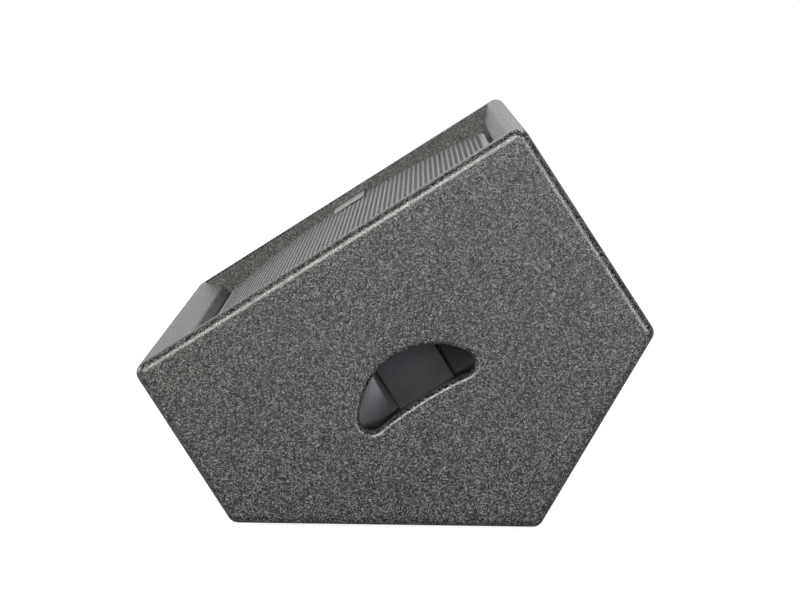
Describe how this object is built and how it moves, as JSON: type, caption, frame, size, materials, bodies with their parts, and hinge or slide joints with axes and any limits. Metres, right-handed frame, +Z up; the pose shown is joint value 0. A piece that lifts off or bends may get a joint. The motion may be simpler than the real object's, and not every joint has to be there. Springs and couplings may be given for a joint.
{
  "type": "stage monitor wedge",
  "caption": "Two-way floor monitor in a five-sided painted plywood cabinet with a recessed bowed grille, a half-moon hand hole, a connector dish and a pole socket.",
  "frame": {"origin": "centre of the bounding box at floor level, under the rubber feet", "axes": "+Z up, X across the width with the hand hole at +X and the pole socket at -X, the grille faces -Y and up"},
  "size_m": [0.6054, 0.4498, 0.3546],
  "materials": {
    "textured_paint": "plywood under a hard dark grey structured paint, satin, fine raised grain",
    "plywood": "bare birch plywood",
    "grille_steel": "perforated steel sheet, satin dark grey",
    "foam_backing": "open-cell acoustic foam, matte black",
    "badge_metal": "brushed plain plate",
    "moulded_plastic": "moulded plastic with a faint sheen",
    "cast_alloy": "cast, matte",
    "zinc_steel": "zinc-plated",
    "ferrite": "sintered ceramic magnet, matte",
    "rubber": "matte",
    "amber_cloth": "resin-treated woven cloth",
    "paper_cone": "pressed paper pulp, matte",
    "titanium_dome": "thin metal dome, satin",
    "copper": "enamelled copper winding",
    "circuit_board": "glass-fibre board with solder mask",
    "film_capacitor": "yellow wrapped film",
    "ceramic": "white ceramic block",
    "lead_sheath": "soft sheath",
    "wool": "loose synthetic wadding"
  },
  "bodies": {
    "cabinet": {"handle_side_panel": "textured_paint", "pole_side_panel": "textured_paint", "top_board": "textured_paint", "bottom_board": "textured_paint", "floor_board": "textured_paint", "rear_board": "textured_paint", "lower_lip_strip": "textured_paint", "upper_lip_strip": "textured_paint", "baffle": "plywood", "centre_brace": "plywood", "grille": "grille_steel", "grille_foam": "foam_backing", "badge_plate": "badge_metal", "handle_bowl": "moulded_plastic", "handle_screw_1": "zinc_steel", "handle_screw_2": "zinc_steel", "handle_screw_3": "zinc_steel", "handle_screw_4": "zinc_steel", "woofer_basket": "cast_alloy", "woofer_gasket": "foam_backing", "woofer_terminal": "moulded_plastic", "woofer_top_plate": "zinc_steel", "woofer_magnet": "ferrite", "woofer_back_plate": "zinc_steel", "woofer_surround": "rubber", "woofer_spider": "amber_cloth", "hf_horn": "moulded_plastic", "hf_driver_motor": "ferrite", "hf_driver_cover": "moulded_plastic", "port_tube_lower": "moulded_plastic", "port_tube_upper": "moulded_plastic", "connector_dish": "moulded_plastic", "speaker_socket_in": "moulded_plastic", "speaker_socket_link": "moulded_plastic", "mode_switch": "moulded_plastic", "pole_socket": "moulded_plastic", "floor_foot_1": "rubber", "floor_foot_2": "rubber", "floor_foot_3": "rubber", "floor_foot_4": "rubber", "end_foot_1": "rubber", "end_foot_2": "rubber", "end_foot_3": "rubber", "end_foot_4": "rubber", "crossover_board": "circuit_board", "low_pass_coil": "copper", "high_pass_coil": "copper", "capacitor_1": "film_capacitor", "capacitor_2": "film_capacitor", "pad_resistor": "ceramic", "input_lead": "lead_sheath", "woofer_lead": "lead_sheath", "hf_lead": "lead_sheath", "damping_wadding": "wool"},
    "woofer_cone_assembly": {"woofer_cone": "paper_cone", "woofer_dust_cap": "paper_cone", "woofer_voice_coil": "copper"},
    "hf_diaphragm_assembly": {"hf_diaphragm": "titanium_dome"},
    "mode_knob_assembly": {"mode_knob": "moulded_plastic"}
  },
  "joints": [
    {"name": "woofer_cone_slide", "type": "slide", "parent": "cabinet", "child": "woofer_cone_assembly", "axis": [0, 0.5452, -0.8383], "range_m": [-0.007, 0.007], "stiffness_N_per_m": 3500, "deforming": ["woofer_surround", "woofer_spider"]},
    {"name": "hf_diaphragm_slide", "type": "slide", "parent": "cabinet", "child": "hf_diaphragm_assembly", "axis": [0, 0.5452, -0.8383], "range_m": [-0.0005, 0.0005], "stiffness_N_per_m": 10000},
    {"name": "mode_knob_turn", "type": "hinge", "parent": "cabinet", "child": "mode_knob_assembly", "pos_m": [0.17665, 0.15219, 0.10664], "axis": [0, 0.8715, -0.4904], "range_deg": [0, 60]}
  ]
}
